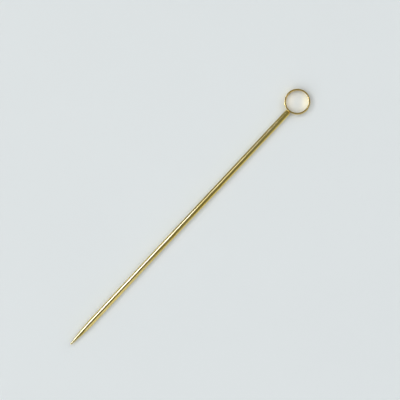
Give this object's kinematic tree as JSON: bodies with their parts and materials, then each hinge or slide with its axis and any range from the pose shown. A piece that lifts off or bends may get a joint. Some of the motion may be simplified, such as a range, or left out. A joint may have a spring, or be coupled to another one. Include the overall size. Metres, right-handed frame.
{
  "type": "hat pin",
  "caption": "Straight round polished pin with a long ground point at one end and a small flat-strip ring brazed on as its head.",
  "frame": {"origin": "centre of the head ring's hole, half-way up its band; the shank's axis runs through it", "axes": "+X along the shank from the ring to the point, +Z along the ring's axis and up when the pin lies flat, +Y across"},
  "size_m": [0.11, 0.0082, 0.0018],
  "materials": {
    "gold_plated_ring": "polished, gold-coloured plating",
    "gold_plated_wire": "polished, gold-coloured plating, faint drawing lines along the wire",
    "gold_plated_braze": "satin, plated over the filler metal"
  },
  "bodies": {
    "root": {"head_ring": "gold_plated_ring", "shank": "gold_plated_wire", "braze_joint": "gold_plated_braze"}
  },
  "joints": []
}
